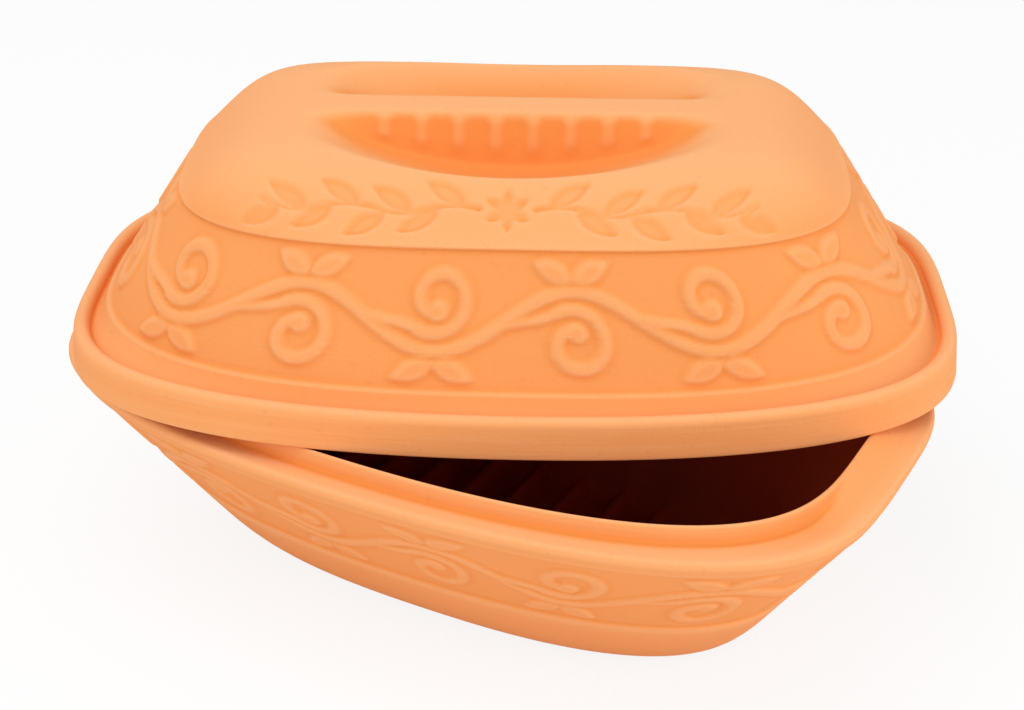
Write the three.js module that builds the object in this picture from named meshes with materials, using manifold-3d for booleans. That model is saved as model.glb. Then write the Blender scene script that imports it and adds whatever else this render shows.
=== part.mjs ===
// Clay roaster: a long dish with rounded corners, and the domed lid that lies askew across its rim.
// Millimetres, +Z up. The origin is the centre of the dish's flat underside, and X runs along the dish.
import * as THREE from "three";
import { LoftGeometry } from "three/addons/geometries/LoftGeometry.js";
import { mergeVertices } from "three/addons/utils/BufferGeometryUtils.js";
import Module from "manifold-3d";

// Outlines are |x / half length| ^ end + |y / half width| ^ side = 1: round ends and bowed sides.
const rimPowers = { end: 2.17, side: 3.57 };
const dishFootPowers = { end: 2.5, side: 2.5 };
const lidFootPowers = { end: 2.66, side: 2.66 };
const lidTopPowers = { end: 3.3, side: 3.3 };
const plateauPowers = { end: 7.5, side: 7.5 };
const outlinePoints = 72;

// Dish: outside
const dishLength = 339.2;
const dishWidth = 215;
const dishHeight = 87.4;
const dishBandHeight = 7.5;
const dishBandInset = 2.8;
const dishEdgeRound = 2.4;
const wallInset = 42;
const footRise = 19;
const footInset = 61;

// Dish: flange, the lip that locates the lid, and the inside
const flangeAtEnds = 14.8;
const flangeAtSides = 10.9;
const flangeDip = 1.3;
const lipHeight = 5.4;
const lipSlope = 1.4;
const lipTop = 1.6;
const dishWall = 9;
const dishFloor = 9;
const ribCount = 9;
const ribPitch = 20;
const ribWidth = 9;
const ribHeight = 4;

// Friezes: bands sunk into the dish's and the lid's walls
const friezeDepth = 1.4;
const friezeStep = 1.2;
const dishFriezeRise = 14;

// Vine: the raised ornament of both friezes, with its sizes as shares of the band's height
const vineWaves = 8;
const vineSwing = 0.21;
const vineStroke = 0.09;
const curlDrop = 0.15;
const curlReach = 0.25;
const curlEnd = 0.085;
const curlStart = THREE.MathUtils.degToRad(120);
const curlTurn = THREE.MathUtils.degToRad(400);
const leafRise = 0.07;
const leafLength = 0.3;
const leafWidth = 0.15;
const leafLean = THREE.MathUtils.degToRad(24);
const stemSteps = 6;
const curlSteps = 9;
const leafSteps = 2;

// Lid: rim, walls and shoulder
const lidOverhang = 2.9;
const mouthClearance = 1.5;
const lidBandHeight = 15.8;
const lidBandDraft = 1;
const lidEdgeRound = 1.4;
const rimThickness = 6;
const rimRound = 3.2;
const channelDepth = 4.2;
const channelWidth = 1.6;
const ledgeAtEnds = 11.8;
const ledgeAtSides = 14.1;
const ledgeRise = 2.1;
const lidWallRise = 51.3;
const creaseAtEnds = 45.9;
const creaseAtSides = 30.3;
const shoulderRise = 22.2;
const plateauLength = 157;
const plateauWidth = 62;
const shoulderHold = 0.23;
const shoulderTurn = 0.4;
const shoulderLift = 0.32;
const lidWall = 8.5;

// Lid: grip bar between two finger scoops
const gripBarWidth = 17;
const scoopLength = 165;
const scoopReach = 57.4;
const scoopDepth = 21;
const fluteCount = 9;
const flutePitch = 14.1;
const fluteWidth = 10.5;
const fluteDepth = 2;

// How the lid lies on the dish's lip
const lidTurn = THREE.MathUtils.degToRad(25.6);
const lidShiftX = -4.3;
const lidShiftY = 30.5;
const restGap = 0.3;

// Sizes that follow from the ones above
const lidLength = dishLength + 2 * lidOverhang;
const lidWidth = dishWidth + 2 * lidOverhang;
const ledgeHeight = lidBandHeight + ledgeRise;
const creaseHeight = ledgeHeight + lidWallRise;
const lidHeight = creaseHeight + shoulderRise;
const lipCrest = dishHeight + lipHeight;
const scoopFace = gripBarWidth / 2;

const wasm = await Module();
wasm.setup();

// A closed outline at one height, set in from a piece's own length and width.
class Outline extends THREE.Curve {
  constructor(length, width, inset, height, powers) {
    super();
    this.halfLength = length / 2 - inset.end;
    this.halfWidth = width / 2 - inset.side;
    this.powers = powers;
    this.height = height;
    this.arcLengthDivisions = 800;
  }

  getPoint(t, target = new THREE.Vector3()) {
    const c = Math.cos(2 * Math.PI * t);
    const s = Math.sin(2 * Math.PI * t);
    const x = this.halfLength * Math.sign(c) * Math.abs(c) ** (2 / this.powers.end);
    const y = this.halfWidth * Math.sign(s) * Math.abs(s) ** (2 / this.powers.side);
    return target.set(x, y, this.height);
  }
}

// Evenly spaced points round an outline.
function ring(outline) {
  return outline.getSpacedPoints(outlinePoints).slice(0, -1);
}

function even(inset) {
  return { end: inset, side: inset };
}

function deeper(inset, end, side = end) {
  return { end: inset.end + end, side: inset.side + side };
}

// Insets or powers at a share of the way from one pair to another.
function mix(from, to, share) {
  return {
    end: THREE.MathUtils.lerp(from.end, to.end, share),
    side: THREE.MathUtils.lerp(from.side, to.side, share),
  };
}

function loft(rings) {
  return new LoftGeometry(rings, { closed: true, capStart: true, capEnd: true });
}

function solidOf(geometry) {
  const bare = new THREE.BufferGeometry();
  bare.setAttribute("position", geometry.getAttribute("position"));
  bare.setIndex(geometry.index);
  const merged = mergeVertices(bare, 1e-4);
  return new wasm.Manifold(
    new wasm.Mesh({
      numProp: 3,
      vertProperties: new Float32Array(merged.attributes.position.array),
      triVerts: new Uint32Array(merged.index.array),
    }),
  );
}

function geometryOf(solid) {
  const mesh = solid.getMesh();
  const geometry = new THREE.BufferGeometry();
  geometry.setAttribute("position", new THREE.BufferAttribute(mesh.vertProperties, 3));
  geometry.setIndex(new THREE.BufferAttribute(mesh.triVerts, 1));
  geometry.computeVertexNormals();
  return geometry;
}

// Sections of a bar that follows a path on a band and is rooted in its wall. The path is x along and y up.
function barSections(band, path, steps, width) {
  const root = 2 * friezeDepth;
  const sections = [];
  for (let i = 0; i <= steps; i += 1) {
    const along = path((i + 1) / steps).sub(path((i - 1) / steps)).normalize();
    const across = new THREE.Vector2(-along.y, along.x).multiplyScalar(width(i / steps) / 2);
    const left = path(i / steps).add(across);
    const right = path(i / steps).sub(across);
    sections.push([band.at(left, 0), band.at(right, 0), band.at(right, root), band.at(left, root)]);
  }
  return sections;
}

// The stem waves all round the band, so its bar closes on itself.
function vineStem(band) {
  const path = (share) => {
    const swing = vineSwing * Math.sin(2 * Math.PI * vineWaves * share);
    return new THREE.Vector2(share * band.way, (0.5 + swing) * band.height);
  };
  const width = () => vineStroke * band.height;
  return solidOf(new LoftGeometry(barSections(band, path, stemSteps * vineWaves, width)));
}

// A curl that winds inwards below a crest of the stem. lay moves its points to that crest.
function vineCurl(band, lay) {
  const path = (share) => {
    const angle = curlStart - curlTurn * share;
    const reach = THREE.MathUtils.lerp(curlReach, curlEnd, share);
    return lay(reach * Math.cos(angle), 0.5 - curlDrop + reach * Math.sin(angle));
  };
  const width = () => vineStroke * band.height;
  return solidOf(loft(barSections(band, path, curlSteps, width)));
}

// An almond leaf above a crest of the stem, leaning to one side.
function vineLeaf(band, lay, side) {
  const path = (share) => {
    const reach = leafLength * share;
    const rise = 0.5 + vineSwing + leafRise;
    return lay(side * reach * Math.cos(leafLean), rise + reach * Math.sin(leafLean));
  };
  const width = (share) => {
    const swell = Math.sin(Math.PI * THREE.MathUtils.clamp(share, 0.06, 0.94));
    return leafWidth * band.height * swell;
  };
  return solidOf(loft(barSections(band, path, leafSteps, width)));
}

// The vine round a whole band: a curl and two leaves at each crest, and the same upside down at each trough.
function vine(band) {
  const halfWave = band.way / vineWaves / 2;
  let joined = vineStem(band);
  for (let i = 0; i < 2 * vineWaves; i += 1) {
    const lay = (x, y) => {
      const up = i % 2 === 0 ? y : 1 - y;
      return new THREE.Vector2((i + 0.5) * halfWave + x * band.height, up * band.height);
    };
    joined = joined.add(vineCurl(band, lay)).add(vineLeaf(band, lay, -1)).add(vineLeaf(band, lay, 1));
  }
  return joined;
}

// Where a share of the way round an outline lies, counted from the middle of the front.
function fromFront(outline, share) {
  return outline.getPointAt(THREE.MathUtils.euclideanModulo(share + 0.75, 1));
}

// Dish wall: a straight taper from the round of the foot up to the rim band.
const dishWallTop = dishHeight - dishBandHeight;
const dishTaper = (wallInset - dishBandInset) / (dishWallTop - footRise);
const dishWallAcross = dishWall * Math.hypot(1, dishTaper);
const lipFoot = { end: flangeAtEnds, side: flangeAtSides };
const dishFriezeFoot = footRise + dishFriezeRise;

function dishInsetAt(height) {
  return wallInset - (height - footRise) * dishTaper;
}

function dishOutline(inset, height) {
  const share = THREE.MathUtils.clamp(height / dishWallTop, 0, 1);
  return new Outline(dishLength, dishWidth, inset, height, mix(dishFootPowers, rimPowers, share));
}

function dishRing(inset, height) {
  return ring(dishOutline(inset, height));
}

// The dish's frieze: its height up the slope, the way round it, and its points at a depth below the face.
function dishBand() {
  const slope = Math.hypot(1, dishTaper);
  const height = (dishWallTop - dishFriezeFoot) * slope;
  const outlineAt = (up, depth) => {
    const level = dishFriezeFoot + up / slope;
    return dishOutline(even(dishInsetAt(level) + depth), level);
  };
  const way = outlineAt(height / 2, 0).getLength();
  const at = (place, depth) => fromFront(outlineAt(place.y, depth), place.x / way);
  return { height, way, at };
}

// A round between a level face and a sloping wall, as pairs of inset and height.
function footRound(levelInset, level, turnInset, wallEndInset, wallEnd) {
  return new THREE.QuadraticBezierCurve(
    new THREE.Vector2(levelInset, level),
    new THREE.Vector2(turnInset, level),
    new THREE.Vector2(wallEndInset, wallEnd),
  ).getPoints(4);
}

// The outside, from the flat foot up the wall and over the flange to the crest of the lip.
function dishOutside() {
  const foot = footRound(footInset, 0, dishInsetAt(0), wallInset, footRise);
  const sunkFoot = dishFriezeFoot + friezeStep;
  const sunkTop = dishWallTop - friezeStep;
  return loft([
    ...foot.map((p) => dishRing(even(p.x), p.y)),
    dishRing(even(dishInsetAt(dishFriezeFoot)), dishFriezeFoot),
    dishRing(even(dishInsetAt(sunkFoot) + friezeDepth), sunkFoot),
    dishRing(even(dishInsetAt(sunkTop) + friezeDepth), sunkTop),
    dishRing(even(dishBandInset), dishWallTop),
    dishRing(even(0), dishHeight - dishEdgeRound),
    dishRing(even(dishEdgeRound / 4), dishHeight - dishEdgeRound / 4),
    dishRing(even(dishEdgeRound), dishHeight),
    dishRing(lipFoot, dishHeight - flangeDip),
    dishRing(deeper(lipFoot, lipSlope), lipCrest),
  ]);
}

// The hollow, from the floor up one wall thickness inside, through the chamfered mouth of the lip.
function dishHollow() {
  const low = dishFloor + footRise;
  const lowInset = dishInsetAt(low) + dishWallAcross;
  const turnInset = dishInsetAt(dishFloor) + dishWallAcross;
  const foot = footRound(footInset + dishWall / 2, dishFloor, turnInset, lowInset, low);
  const mouth = deeper(lipFoot, lipSlope + lipTop);
  const neckInset = dishInsetAt(dishWallTop) + dishWallAcross;
  const neck = { end: Math.max(neckInset, mouth.end), side: Math.max(neckInset, mouth.side) };
  return loft([
    ...foot.map((p) => dishRing(even(p.x), p.y)),
    dishRing(neck, dishWallTop - friezeStep),
    dishRing(mouth, lipCrest - lipTop / 2),
    dishRing(deeper(lipFoot, lipSlope), lipCrest + lipTop / 2),
  ]);
}

// A low rounded rib that stands on the floor and runs from wall to wall.
function floorRib(x) {
  const profile = new THREE.Shape();
  profile.moveTo(-ribWidth / 2, -dishFloor / 2);
  profile.lineTo(ribWidth / 2, -dishFloor / 2);
  profile.lineTo(ribWidth / 2, 0);
  profile.absellipse(0, 0, ribWidth / 2, ribHeight, 0, Math.PI, false, 0);
  profile.closePath();
  const rib = new THREE.ExtrudeGeometry(profile, {
    depth: dishWidth,
    bevelEnabled: false,
    curveSegments: 4,
  });
  return rib.rotateX(Math.PI / 2).translate(x, dishWidth / 2, dishFloor);
}

function dishGeometry() {
  let hollow = solidOf(dishHollow());
  for (let i = 0; i < ribCount; i += 1) {
    const x = (i - (ribCount - 1) / 2) * ribPitch;
    hollow = hollow.subtract(solidOf(floorRib(x)));
  }
  return geometryOf(solidOf(dishOutside()).add(vine(dishBand())).subtract(hollow));
}

// Lid: rings from its bottom edge over the rim, down to the channel and up the wall to the top.
const lidFoot = { end: ledgeAtEnds, side: ledgeAtSides };
const lidCrease = { end: creaseAtEnds, side: creaseAtSides };
const lidPlateau = {
  end: (lidLength - plateauLength) / 2,
  side: (lidWidth - plateauWidth) / 2,
};

function lidOutline(inset, height, powers = rimPowers) {
  return new Outline(lidLength, lidWidth, inset, height, powers);
}

function lidRing(inset, height, powers) {
  return ring(lidOutline(inset, height, powers));
}

// The lid's frieze, in the same terms as the dish's.
function lidBand() {
  const outlineAt = (up, depth) => {
    const share = up / lidWallRise;
    const inset = deeper(mix(lidFoot, lidCrease, share), depth);
    return lidOutline(inset, ledgeHeight + up, mix(lidFootPowers, lidTopPowers, share));
  };
  const way = outlineAt(lidWallRise / 2, 0).getLength();
  const at = (place, depth) => fromFront(outlineAt(place.y, depth), place.x / way);
  return { height: lidWallRise, way, at };
}

// Rings that turn from the crease into the level top.
function shoulderRings(crease, low, plateau, high, steps) {
  const start = new THREE.Vector3(crease.end, crease.side, low);
  const finish = new THREE.Vector3(plateau.end, plateau.side, high);
  const hold = start.clone().lerp(finish, shoulderHold).setZ(THREE.MathUtils.lerp(low, high, shoulderLift));
  const turn = start.clone().lerp(finish, shoulderTurn).setZ(high);
  const curve = new THREE.CubicBezierCurve3(start, hold, turn, finish);
  return curve.getPoints(steps).map((p, i) => {
    const powers = mix(lidTopPowers, plateauPowers, i / steps);
    return lidRing({ end: p.x, side: p.y }, p.z, powers);
  });
}

function lidOutside() {
  const edgeBase = lidBandHeight - rimRound;
  const rimArc = [0, 0.25, 0.5, 0.75, 1].map((share) => {
    const inset = lidBandDraft + (rimThickness / 2) * (1 - Math.cos(Math.PI * share));
    return lidRing(even(inset), edgeBase + rimRound * Math.sin(Math.PI * share));
  });
  const channel = lidBandDraft + rimThickness + channelWidth / 2;
  return loft([
    lidRing(even(lidEdgeRound), 0),
    lidRing(even(0), lidEdgeRound),
    ...rimArc,
    lidRing(even(channel), lidBandHeight - channelDepth),
    lidRing(lidFoot, ledgeHeight, lidFootPowers),
    lidRing(deeper(lidFoot, friezeDepth), ledgeHeight + friezeStep, lidFootPowers),
    lidRing(deeper(lidCrease, friezeDepth), creaseHeight - friezeStep, lidTopPowers),
    ...shoulderRings(lidCrease, creaseHeight, lidPlateau, lidHeight, 7),
  ]);
}

// The hollow: a mouth that clears the dish's lip, then the outside again, one wall thickness in.
function lidHollow() {
  const mouth = {
    end: lidOverhang + flangeAtEnds - mouthClearance,
    side: lidOverhang + flangeAtSides - mouthClearance,
  };
  const endAcross = lidWall * Math.hypot(1, (creaseAtEnds - ledgeAtEnds) / lidWallRise);
  const sideAcross = lidWall * Math.hypot(1, (creaseAtSides - ledgeAtSides) / lidWallRise);
  const foot = deeper(lidFoot, endAcross, sideAcross);
  const crease = deeper(lidCrease, endAcross, sideAcross);
  return loft([
    lidRing(mouth, -lidWall),
    lidRing(mouth, lipHeight + mouthClearance),
    lidRing(foot, ledgeHeight, lidFootPowers),
    ...shoulderRings(crease, creaseHeight - lidWall / 2, lidPlateau, lidHeight - lidWall, 4),
  ]);
}

// Plan of one scoop, open towards the lid's front: its back is the bar's wall, hollowed by flutes.
function scoopPlan() {
  const radius = (fluteWidth ** 2 / 4 + fluteDepth ** 2) / (2 * fluteDepth);
  const half = Math.asin(fluteWidth / 2 / radius);
  const plan = new THREE.Shape();
  plan.moveTo(-scoopLength, -scoopFace - 2 * scoopReach);
  plan.lineTo(scoopLength, -scoopFace - 2 * scoopReach);
  plan.lineTo(scoopLength, -scoopFace);
  for (let i = fluteCount - 1; i >= 0; i -= 1) {
    const x = (i - (fluteCount - 1) / 2) * flutePitch;
    const y = -scoopFace + fluteDepth - radius;
    plan.absarc(x, y, radius, Math.PI / 2 - half, Math.PI / 2 + half, false);
  }
  plan.lineTo(-scoopLength, -scoopFace);
  plan.closePath();
  return plan;
}

// The front scoop: a shallow bowl with a parabola for its profile, cut off at the bar's fluted wall.
function scoop() {
  const profile = new THREE.QuadraticBezierCurve(
    new THREE.Vector2(0, -1),
    new THREE.Vector2(0.5, -1),
    new THREE.Vector2(1, 0),
  ).getPoints(8);
  profile.push(new THREE.Vector2(1, 1), new THREE.Vector2(0, 1));
  const bowl = new THREE.LatheGeometry(profile, 40).rotateX(Math.PI / 2);
  bowl.scale(scoopLength / 2, scoopReach + fluteDepth, scoopDepth);
  bowl.translate(0, fluteDepth - scoopFace, lidHeight);
  const room = new THREE.ExtrudeGeometry(scoopPlan(), {
    depth: 4 * scoopDepth,
    bevelEnabled: false,
    curveSegments: 3,
  });
  room.translate(0, 0, lidHeight - 2 * scoopDepth);
  return solidOf(bowl).intersect(solidOf(room));
}

// The room that both scoops and the clay under them take, which the hollow below keeps clear of.
function scoopWall() {
  const bowl = new THREE.SphereGeometry(1, 24, 12).rotateX(Math.PI / 2);
  const across = scoopReach + gripBarWidth / 2 + lidWall;
  bowl.scale(scoopLength / 2 + lidWall, across, scoopDepth + lidWall);
  bowl.translate(0, 0, lidHeight);
  return solidOf(bowl);
}

function lidGeometry() {
  const front = scoop();
  const rear = front.rotate([0, 0, 180]);
  const hollow = solidOf(lidHollow()).subtract(scoopWall());
  const outside = solidOf(lidOutside()).add(vine(lidBand()));
  return geometryOf(outside.subtract(front).subtract(rear).subtract(hollow));
}

function clay() {
  return new THREE.MeshStandardMaterial({ color: 0xf5a066, roughness: 0.9, metalness: 0 });
}

const roaster = new THREE.Group();

const dish = new THREE.Mesh(dishGeometry(), clay());
dish.name = "dish";
roaster.add(dish);

const lid = new THREE.Mesh(lidGeometry(), clay());
lid.name = "lid";
lid.position.set(lidShiftX, lidShiftY, lipCrest + restGap);
lid.rotation.z = lidTurn;
roaster.add(lid);

export default roaster;
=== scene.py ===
# %% [markdown]
# # Clay roaster
#
# This lesson dresses a clay roaster: a long dish under a domed lid that lies askew on its rim.
# A real one is two pressed pieces of bare orange clay, and only the dish's inside carries a dark glaze.
# The frame that is loaded first holds both pieces as plain solids, at their true size and place.
# Each piece is then modelled again with soft edges and carved bands, and stands for its solid.

# %% Load the frame
import math

import bpy
import numpy as np
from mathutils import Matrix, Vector


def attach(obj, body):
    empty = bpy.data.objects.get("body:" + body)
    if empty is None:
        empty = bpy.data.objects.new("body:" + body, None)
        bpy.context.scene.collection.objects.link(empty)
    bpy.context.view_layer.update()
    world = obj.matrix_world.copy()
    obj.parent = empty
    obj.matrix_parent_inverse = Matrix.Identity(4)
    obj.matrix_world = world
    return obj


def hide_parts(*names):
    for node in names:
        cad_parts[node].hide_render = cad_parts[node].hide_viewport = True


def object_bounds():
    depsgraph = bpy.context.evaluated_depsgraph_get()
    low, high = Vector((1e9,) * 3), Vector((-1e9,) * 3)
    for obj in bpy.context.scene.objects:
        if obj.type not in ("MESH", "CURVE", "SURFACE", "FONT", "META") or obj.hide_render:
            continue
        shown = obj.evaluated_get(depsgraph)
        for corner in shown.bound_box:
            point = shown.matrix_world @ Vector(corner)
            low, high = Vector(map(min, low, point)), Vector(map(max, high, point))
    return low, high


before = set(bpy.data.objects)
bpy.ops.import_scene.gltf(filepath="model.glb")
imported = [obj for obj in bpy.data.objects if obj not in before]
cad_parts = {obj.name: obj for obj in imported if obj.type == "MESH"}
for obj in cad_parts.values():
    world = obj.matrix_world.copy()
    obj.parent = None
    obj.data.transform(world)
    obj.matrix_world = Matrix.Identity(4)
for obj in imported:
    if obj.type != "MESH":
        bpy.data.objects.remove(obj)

cad_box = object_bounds()
MM = 0.001

scene = bpy.context.scene
scene.view_settings.view_transform = "Standard"
print("frame:", sorted(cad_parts), "height", round(cad_box[1].z / MM, 1), "mm")

# %% [markdown]
# ## The camera
#
# The photograph looks down on the roaster from its front, turned towards the right end.
# A camera can be placed by eye, but here its place, aim and lens were worked out from points of the outline.

# %% Camera
CAMERA_PLACE = Vector((0.3173, -0.5740, 0.4554))
CAMERA_AIM = Vector((-0.0056, 0.0298, 0.0749))
CAMERA_LENS = 67.42
SENSOR_WIDTH = 36

bpy.ops.object.camera_add(location=CAMERA_PLACE)
camera = bpy.context.object
camera.name = "photo_camera"
camera.data.lens = CAMERA_LENS
camera.data.sensor_width = SENSOR_WIDTH
camera.rotation_euler = (CAMERA_AIM - CAMERA_PLACE).to_track_quat("-Z", "Y").to_euler()
scene.camera = camera
print("camera at", [round(c, 3) for c in CAMERA_PLACE], "lens", CAMERA_LENS, "mm")

# %% [markdown]
# ## A net that is folded into shape
#
# Seen from above, every level of the roaster is the same kind of outline: round ends and gently bowed sides.
# It follows one formula, in which two powers say how full the ends and the sides are.
# Both pieces could be carved from a block, but a pressed pot is easier to make as potters think of it:
# as a stack of rings, each a little wider or narrower than the one before.
# So a flat primitive gets rings of faces from its edge with Extrude Repeat,
# and the rings are then set in place.

# %% Outlines
OUTLINE_STEPS = 14


def soft_step(low, high, value):
    """A smooth ramp from 0 at low to 1 at high."""
    share = np.clip((value - low) / (high - low), 0, 1)
    return share * share * (3 - 2 * share)


def outline(half_length, half_width, end_power, side_power, along, across):
    """Points on |x / half length| ^ end + |y / half width| ^ side = 1, found by Newton's method.

    along and across are the point's direction, given as a place on the edge of a square of half side 1."""
    along_size = np.abs(along)
    across_size = np.abs(across)
    reach = np.ones_like(along)
    for _ in range(OUTLINE_STEPS):
        end_term = (along_size * reach) ** end_power
        side_term = (across_size * reach) ** side_power
        slope = (end_power * end_term + side_power * side_term) / reach
        reach = reach - (end_term + side_term - 1) / slope
    return half_length * along * reach, half_width * across * reach


print("corner of a unit circle:", np.round(outline(1, 1, 2, 2, 1.0, 1.0), 3))

# %% Directions
SQUARE_WAY = 8.0
TINY = 1e-6


def square_direction(way):
    """The place on the square's edge this far round it from the middle of its front."""
    along = np.clip(2 - np.abs((way + 2) % SQUARE_WAY - 4), -1, 1)
    across = np.clip(2 - np.abs(way % SQUARE_WAY - 4), -1, 1)
    return along, across


def square_way(along, across):
    """How far round the square's edge a place lies, from the middle of its front towards +X."""
    front = across <= -np.abs(along)
    right = along >= np.abs(across)
    rear = across >= np.abs(along)
    ways = [along % SQUARE_WAY, 2 + across, 4 - along]
    return np.select([front, right, rear], ways, 6 - across)


def directions(first, second):
    """Directions of a grid's points from its middle, and how far out each lies, 1 at the edge."""
    reach = np.maximum(np.abs(first), np.abs(second))
    middle = reach < TINY
    safe = np.where(middle, 1, reach)
    return np.where(middle, 1, first / safe), second / safe, reach


print("a quarter of the way round is the place", *square_direction(SQUARE_WAY / 4))

# %% Rings
RING_FACTS = ("end inset", "side inset", "end height", "side height", "end power", "side power", "sunk")
SIDE_HEIGHT = RING_FACTS.index("side height")
SUNK = RING_FACTS.index("sunk")


def pair(value):
    return value if isinstance(value, tuple) else (value, value)


def mix(low, high, share):
    return tuple(a + (b - a) * share for a, b in zip(low, high))


def ring_at(inset, height, powers, sunk=0.0):
    """One ring: its distance inside the plan, its height, its outline, and how much of a carving it takes.

    An inset or height may be a pair, for the ends and the sides."""
    return np.array([*pair(inset), *pair(height), *powers, sunk], float)


def bezier(controls, share):
    """Points of the smooth curve that leaves the first control towards the next and ends at the last."""
    share = np.asarray(share)[:, None]
    while len(controls) > 1:
        controls = [a + (b - a) * share for a, b in zip(controls, controls[1:])]
    return controls[0]


def extend(rings, steps, *controls):
    """Adds rings on the curve from the last ring to the last control."""
    rings.extend(bezier([rings[-1], *controls], np.arange(1, steps + 1) / steps))


print("ring facts:", ", ".join(RING_FACTS))

# %% Nets
def hang_rings(name, count):
    """Names the new primitive and hangs rings of faces from it, each one unit below the last."""
    net = bpy.context.object
    net.name = name
    bpy.ops.object.mode_set(mode="EDIT")
    bpy.ops.mesh.select_mode(type="EDGE")
    bpy.ops.mesh.select_all(action="SELECT")
    bpy.ops.mesh.region_to_loop()
    bpy.ops.mesh.extrude_repeat(steps=count, offset=(0, 0, -1))
    bpy.ops.object.mode_set(mode="OBJECT")
    return net


def square_net(name, columns, rows, rings):
    bpy.ops.mesh.primitive_grid_add(x_subdivisions=columns, y_subdivisions=rows, size=2)
    return hang_rings(name, rings)


def round_net(name, columns, rings):
    bpy.ops.mesh.primitive_circle_add(vertices=columns, radius=1, fill_type="NGON")
    return hang_rings(name, rings)


def net_places(net):
    """Each vertex's two flat coordinates in the net, and the number of its ring."""
    places = np.empty(3 * len(net.data.vertices))
    net.data.vertices.foreach_get("co", places)
    first, second, depth = places.reshape(-1, 3).T
    return first, second, np.rint(-depth).astype(int)


def set_places(net, x, y, z):
    """Moves the net's vertices to places given in millimetres."""
    net.data.vertices.foreach_set("co", np.column_stack([x, y, z]).ravel() * MM)
    net.data.update()


def keep_values(net, name, values):
    """Stores a value at each point, for a material to read."""
    attribute = net.data.attributes.new(name, "FLOAT", "POINT")
    attribute.data.foreach_set("value", np.asarray(values, np.float32))


print("net helpers defined")

# %% Places on rings
SIDE_FADE = (0.18, 0.5)
WAY_POINTS = 4001


def place_rings(rings, plan, along, across, ring, cut):
    """Places in millimetres of points on their rings. cut is how deep each point lies in a sunk band.

    A ring's end height fades into its side height over SIDE_FADE, a range of shares of the half width."""
    facts = np.array(rings)[ring].T
    end_inset, side_inset, end_height, side_height, end_power, side_power, sunk = facts
    half_length = plan[0] / 2 - end_inset - cut * sunk
    half_width = plan[1] / 2 - side_inset - cut * sunk
    x, y = outline(half_length, half_width, end_power, side_power, along, across)
    end_share = 1 - soft_step(*SIDE_FADE, np.abs(y) / half_width)
    return x, y, side_height + (end_height - side_height) * end_share


def way_along(first, second):
    """Distance along a row of points to each of them."""
    return np.concatenate([[0], np.cumsum(np.hypot(np.diff(first), np.diff(second)))])


def distance_round(ring, plan):
    """Ways round the square, and the distance in millimetres along a ring to each of them."""
    ways = np.linspace(0, SQUARE_WAY, WAY_POINTS)
    x, y, _ = place_rings([ring], plan, *square_direction(ways), np.zeros(WAY_POINTS, int), 0)
    return ways, way_along(x, y)


def by_row(places, table, at, row):
    """Looks up each point in its own row of a table, whose columns lie at these places."""
    found = np.empty(len(at))
    for number in np.unique(row):
        on_row = row == number
        found[on_row] = np.interp(at[on_row], places, table[number])
    return found


print("round a 100 mm circle:", round(distance_round(ring_at(0, 0, (2, 2)), (100, 100))[1][-1], 1), "mm")

# %% [markdown]
# ## The carved ornament
#
# Both pieces carry a sunk band with a raised ornament, pressed into the clay by the mould.
# Here it is a vine: a waving stem with a curl in every bay and a pair of leaves over every crest.
# Such relief could be a bump in the material, but then the outline and the mesh would stay smooth.
# So each stroke is a row of beads, and the distance to the nearest bead says how high the clay stands.

# %% Strokes
LEAF_BEADS = 26
LEAF_SKEW = 0.85
CURL_BEADS = 90
BUD = (0.9, 1.0)
BUD_SWELL = 0.6


def direction(angle):
    return np.stack([np.cos(angle), np.sin(angle)], axis=-1)


def stroke(points, radius):
    """Beads of this radius, or of one radius each, on a list of points."""
    return np.column_stack([points, np.broadcast_to(radius, len(points))])


def leaf(root, angle, length, width):
    """An almond leaf: beads that swell and shrink along its middle vein."""
    share = np.linspace(0, 1, LEAF_BEADS)
    vein = np.array(root) + length * share[:, None] * direction(angle)
    return stroke(vein, width / 2 * np.sin(np.pi * share**LEAF_SKEW))


def curl(centre, start_radius, finish_radius, start_angle, turn, radius):
    """A stroke that winds clockwise towards its centre and ends in a bud."""
    share = np.linspace(0, 1, CURL_BEADS)
    angle = start_angle - turn * share
    reach = start_radius + (finish_radius - start_radius) * share
    points = centre + direction(angle) * reach[:, None]
    return stroke(points, radius * (1 + BUD_SWELL * soft_step(*BUD, share)))


print("a leaf has", len(leaf((0, 0), 0, 1, 1)), "beads")

# %% Vine
VINE_WAVES = 8
VINE_SWING = 0.21
VINE_STROKE = 0.09
STEM_BEADS = 140
CURL_DROP = 0.15
CURL_REACH = (0.25, 0.085)
CURL_START = math.radians(120)
CURL_TURN = math.radians(400)
LEAF_RISE = 0.07
LEAF_SIZE = (0.3, 0.15)
LEAF_LEAN = math.radians(24)
FORK = -0.05
JOINT_BEADS = 24
JOINT_PULL = 0.16
JOINT_STROKE = 0.8
NEIGHBOUR_REACH = 0.25


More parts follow.
